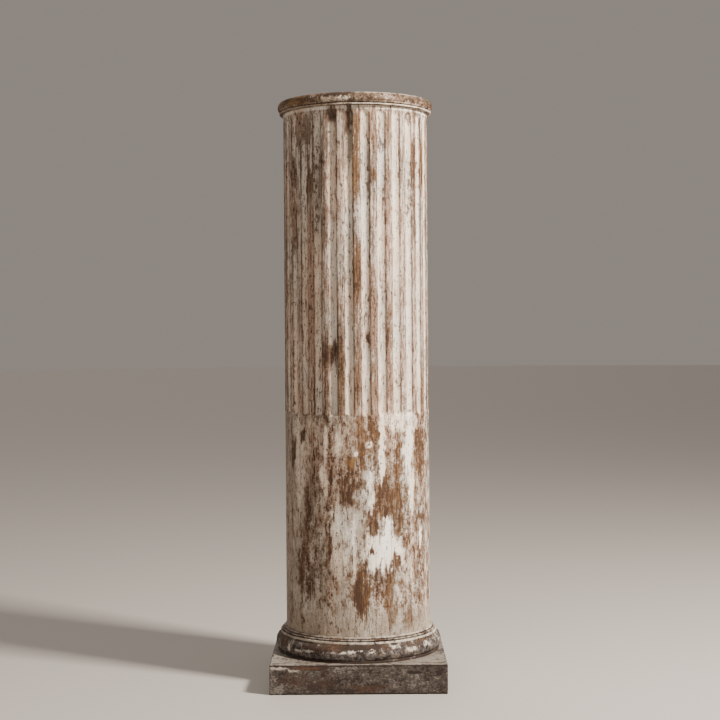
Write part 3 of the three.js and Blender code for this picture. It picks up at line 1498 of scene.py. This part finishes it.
PLAIN_PATCHES = [
    Patch(3.0, 508, 9, 58, paint=0.27, tone=0.52, film=0.5),
    Patch(13.0, 518, 12, 40, paint=0.24, tone=0.42, film=0.7),
    Patch(9.4, 502, 5.6, 5.6, paint=1.0, grime=0.0),
    Patch(9.4, 502, 2.6, 2.6, paint=0.1, tone=0.4),
    Patch(-1.0, 482, 4.0, 4.5, paint=1.0, grime=0.0),
    Patch(-5.5, 463, 11, 13, paint=0.16, tone=0.82, film=0.2),
    Patch(19.5, 496, 6, 74, paint=1.0, grime=0.0),
    Patch(25.5, 500, 6, 50, paint=0.34, tone=0.4, film=1.0),
    Patch(44.0, 500, 12, 58, paint=0.80, grime=0.12),
    Patch(36.0, 549, 42, 16, paint=0.66, grime=0.05),
    Patch(58.0, 480, 18, 52, paint=0.25, tone=0.34, film=0.5),
    Patch(33.0, 466, 9, 50, paint=0.22, tone=0.30, film=0.5),
    Patch(25.0, 386, 35, 44, paint=0.22, tone=0.32, film=0.45),
    Patch(10.0, 402, 6, 50, paint=0.68, grime=0.25),
    Patch(-7.0, 424, 24, 26, paint=0.34, tone=0.25, film=0.3, pits=0.6),
    Patch(-8.0, 390, 13, 13, paint=0.16, tone=0.15, film=0.2),
    Patch(-14.0, 504, 8, 32, paint=0.68, grime=0.40),
    Patch(-50.0, 505, 30, 46, paint=0.57, grime=0.45),
    Patch(-25.0, 500, 3.5, 34, paint=0.95, grime=0.10),
    Patch(-21.0, 462, 9, 56, paint=0.32, tone=0.38, film=0.9),
    Patch(-27.0, 430, 8, 28, paint=0.70, grime=0.20),
    Patch(-36.0, 440, 8, 60, paint=0.34, tone=0.22, film=0.9, grime=0.6),
    Patch(-51.0, 440, 14, 80, paint=0.72, grime=0.55),
    Patch(-42.0, 385, 9, 36, paint=0.24, tone=0.22, film=0.5),
    Patch(-47.0, 516, 7, 14, paint=0.22, tone=0.10, film=0.2),
    Patch(-60.0, 475, 8, 28, paint=0.26, tone=0.25, film=0.4),
    Patch(-9.0, 305, 35, 66, paint=0.68, grime=0.46),
    Patch(-3.0, 315, 4, 50, paint=0.95, grime=0.35),
    Patch(-16.0, 345, 8, 30, paint=0.80, grime=0.45),
    Patch(22.0, 282, 40, 30, paint=0.92, grime=0.06),
    Patch(23.5, 326, 8, 28, paint=1.0, grime=0.0),
    Patch(11.0, 284.5, 6, 7, paint=0.10, tone=0.25, film=0.0),
    Patch(12.0, 338, 9, 24, paint=0.22, tone=0.30, film=0.3),
    Patch(33.0, 344, 12, 26, paint=0.22, tone=0.32, film=0.3),
    Patch(30.0, 260, 11, 20, paint=0.22, tone=0.30, film=0.3),
    Patch(47.0, 400, 8, 34, paint=0.80, grime=0.10),
    Patch(49.0, 290, 34, 80, paint=0.37, tone=0.42, film=0.9),
    Patch(44.0, 240, 13, 28, paint=0.62, grime=0.40, pits=0.4),
    Patch(58.5, 300, 4, 24, paint=1.0, grime=0.0),
    Patch(3.0, 200, 18, 44, paint=0.22, tone=0.32, film=0.25),
    Patch(1.5, 178, 8, 24, paint=0.14, tone=0.12, film=0.0),
    Patch(24.5, 218, 12, 30, paint=0.26, tone=0.46, film=0.45),
    Patch(17.0, 218, 12, 30, paint=0.32, tone=0.25, film=1.0),
    Patch(26.0, 160, 11, 30, paint=0.34, tone=0.50, film=0.5),
    Patch(42.5, 142, 14, 22, paint=0.30, tone=0.40, film=0.5),
    Patch(-50.0, 238, 10, 46, paint=0.22, tone=0.30, film=0.4),
    Patch(-39.0, 222, 15, 34, paint=0.33, tone=0.20, film=0.7),
    Patch(-44.0, 306, 10, 50, paint=0.24, tone=0.28, film=0.5),
    Patch(-22.8, 290, 5, 44, paint=0.20, tone=0.28, film=0.4),
    Patch(-49.0, 137, 6, 10, paint=0.22, tone=0.15, film=0.2),
]

BASE_PATCHES = [
    Patch(0.0, 92, 48, 3.5, paint=0.10, tone=0.12, film=0.0),
    Patch(-62.0, 88, 13, 9, paint=0.12, tone=0.45, film=0.0),
    Patch(52.0, 95, 12, 3, paint=0.10, tone=0.55, film=0.0),
    Patch(-45.0, 77.5, 14, 2.6, paint=0.60, grime=0.30),
    Patch(-36.0, 80.5, 15, 2.6, paint=0.60, grime=0.30),
    Patch(-56.0, 82, 5, 10, paint=0.62, grime=0.30),
    Patch(-10.0, 82, 8, 2.6, paint=0.66, grime=0.2),
    Patch(-4.0, 84, 8, 3.0, paint=0.62, grime=0.2),
    Patch(1.5, 86, 6, 2.0, paint=0.58, grime=0.3),
    Patch(-18.0, 81, 10, 2.0, paint=0.50, grime=0.4),
    Patch(8.3, 86, 7, 4.5, paint=0.62, grime=0.25),
    Patch(8.3, 86, 2.5, 1.5, paint=0.10, tone=0.2),
    Patch(38.0, 82.5, 14, 5.4, paint=0.66, grime=0.15),
    Patch(56.0, 87, 24, 6.5, paint=0.54, grime=0.2),
    Patch(25.0, 90, 14, 3, paint=0.55, grime=0.3),
]

CAP_PATCHES = [
    Patch(-50.0, 1209, 32, 9, paint=0.22, tone=0.52, film=0.2),
    Patch(-62.0, 1212, 14, 5, paint=0.15, tone=0.34, film=0.1),
    Patch(-14.0, 1214.5, 34, 4.5, paint=0.12, tone=0.05, film=0.1),
    Patch(-34.0, 1209, 10, 7, paint=0.30, tone=0.10, film=0.2),
    Patch(-15.0, 1205, 40, 5, paint=0.50, film=1.0, grime=0.3),
    Patch(25.0, 1210, 16, 6, paint=0.32, film=0.9, tone=0.35),
    Patch(48.0, 1211, 18, 6, paint=0.20, tone=0.28, film=0.4),
    Patch(70.0, 1209, 34, 10, paint=0.14, tone=0.24, film=0.3),
]

PLINTH_PATCHES = [
    Patch(0.0, 36, 50, 17, film=1.2, paint=0.35),
    Patch(-36.0, 30, 24, 16, paint=0.26, film=0.40, tone=0.50),
    Patch(-23.0, 24, 22, 16, paint=0.26, film=0.45, tone=0.45),
    Patch(6.5, 13, 34, 7, paint=0.22, film=0.35, tone=0.60),
    Patch(38.0, 24, 28, 20, paint=0.44, grime=0.85),
    Patch(20.0, 46, 40, 10, paint=0.40, grime=0.9),
    Patch(32.0, 44, 11, 3, paint=0.10, film=0.0, tone=0.0),
    Patch(-43.0, 26, 8, 26, paint=0.46, grime=0.8),
    Patch(-41.5, 54, 12, 2.8, paint=0.72, grime=0.2),
    Patch(-38.0, 52, 7, 3.0, paint=0.70, grime=0.2),
    Patch(-35.5, 50.5, 5, 3.0, paint=0.74, grime=0.2),
    Patch(-30.0, 54.5, 27, 2.6, paint=0.05, film=0.0, tone=0.95),
    Patch(-21.5, 53, 9, 5, paint=0.08, film=0.0, tone=0.45),
    Patch(-10.0, 53, 30, 3.5, paint=0.52, grime=0.6),
]


def fluted_patches() -> list[Patch]:
    """The patches above the plain part, each as wide as the fillet or flute that it keeps to.

    Returns:
        The patches, in the order in which they are laid.
    """
    laid = []
    for rows, half_width, ground in (
        (FILLET_PATCHES, 11, Ground.FILLET),
        (FLUTE_PATCHES, 13, Ground.FLUTE),
    ):
        for angle, height, tall, kept in rows:
            laid.append(Patch(angle, height, half_width, tall, ground=ground, **kept))
    return laid + WIDE_PATCHES


def main() -> None:
    """Builds the studio and the column's pieces in order, from the floor up."""
    logging.basicConfig(level=logging.INFO, format="%(message)s")
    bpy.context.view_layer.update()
    studio = Studio()
    studio.camera()
    studio.floor()
    studio.light()
    column: list[Piece] = [
        Plinth(patches=PLINTH_PATCHES),
        BaseMoulding(patches=BASE_PATCHES),
        Shaft(patches=fluted_patches() + PLAIN_PATCHES),
        Cap(patches=CAP_PATCHES),
    ]
    for piece in column:
        piece.build()


if __name__ == "__main__":
    main()
